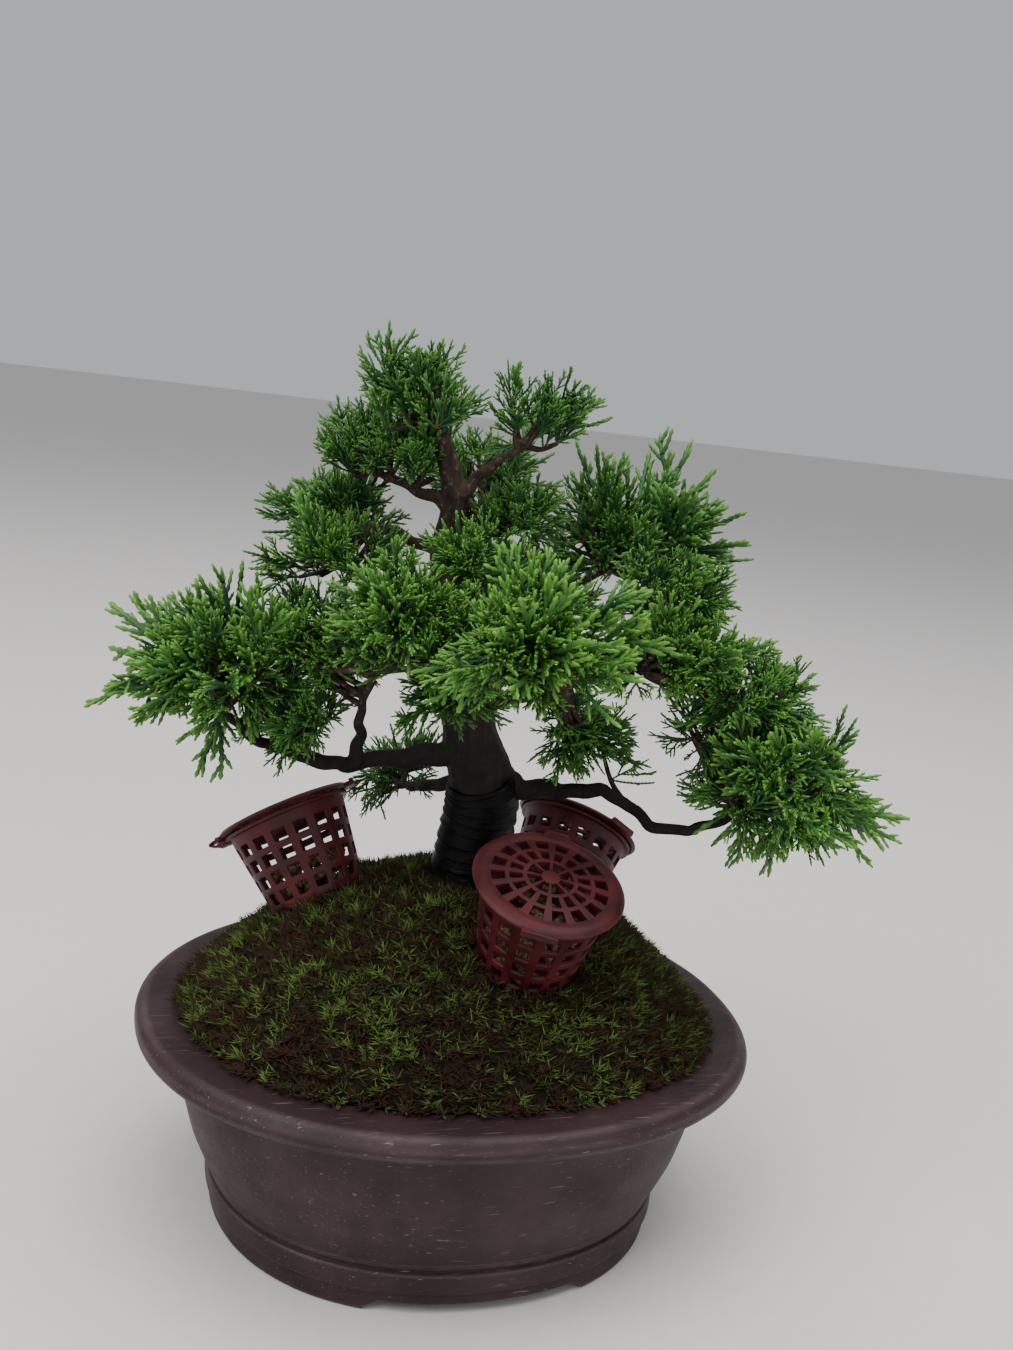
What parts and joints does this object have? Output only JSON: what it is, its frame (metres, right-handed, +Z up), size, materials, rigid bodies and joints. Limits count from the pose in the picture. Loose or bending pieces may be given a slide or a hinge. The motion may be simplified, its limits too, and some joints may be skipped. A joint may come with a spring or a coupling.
{
  "type": "bonsai tree in a pot",
  "caption": "Small juniper bonsai with wrapped trunk and layered foliage pads in an oval unglazed stoneware pot, with moss and lidded fertiliser baskets.",
  "frame": {"origin": "on the surface the pot stands on, under the middle of the pot", "axes": "+Z up along the tree, +X along the pot's long side, -Y towards the front of the tree"},
  "size_m": [0.1922, 0.14, 0.2323],
  "materials": {
    "stoneware": "matte",
    "black_mesh": "matte",
    "wire": "satin",
    "soil": "matte",
    "moss": "matte",
    "bark": "matte",
    "black_tape": "satin",
    "foliage": "matte",
    "maroon_plastic": "satin",
    "fertiliser": "matte"
  },
  "bodies": {
    "planted_pot": {"pot": "stoneware", "drain_screen_left": "black_mesh", "drain_screen_right": "black_mesh", "screen_clip_left": "wire", "screen_clip_right": "wire", "soil": "soil", "moss": "moss", "trunk": "bark", "trunk_wrap": "black_tape", "foliage_apex": "foliage", "foliage_upper_left": "foliage", "foliage_upper_right": "foliage", "foliage_left": "foliage", "foliage_left_inner": "foliage", "foliage_centre": "foliage", "foliage_right_inner": "foliage", "foliage_right": "foliage", "foliage_rear": "foliage", "foliage_rear_upper": "foliage", "foliage_rear_low": "foliage", "basket_front": "maroon_plastic", "fertiliser_front": "fertiliser", "basket_left": "maroon_plastic", "fertiliser_left": "fertiliser", "basket_rear": "maroon_plastic", "fertiliser_rear": "fertiliser"},
    "lid_front": {"lid_front": "maroon_plastic"},
    "lid_left": {"lid_left": "maroon_plastic"},
    "lid_rear": {"lid_rear": "maroon_plastic"}
  },
  "joints": [
    {"name": "hinge_front", "type": "hinge", "parent": "planted_pot", "child": "lid_front", "pos_m": [0.02018, -0.01294, 0.10626], "axis": [-0.9288, 0.338, 0.152], "range_deg": [0, 100]},
    {"name": "hinge_left", "type": "hinge", "parent": "planted_pot", "child": "lid_left", "pos_m": [-0.06141, 0.03381, 0.08672], "axis": [-0.2728, -0.8924, 0.3593], "range_deg": [0, 100]},
    {"name": "hinge_rear", "type": "hinge", "parent": "planted_pot", "child": "lid_rear", "pos_m": [0.04205, 0.0651, 0.08188], "axis": [-0.8116, -0.1431, 0.5664], "range_deg": [0, 100]}
  ]
}
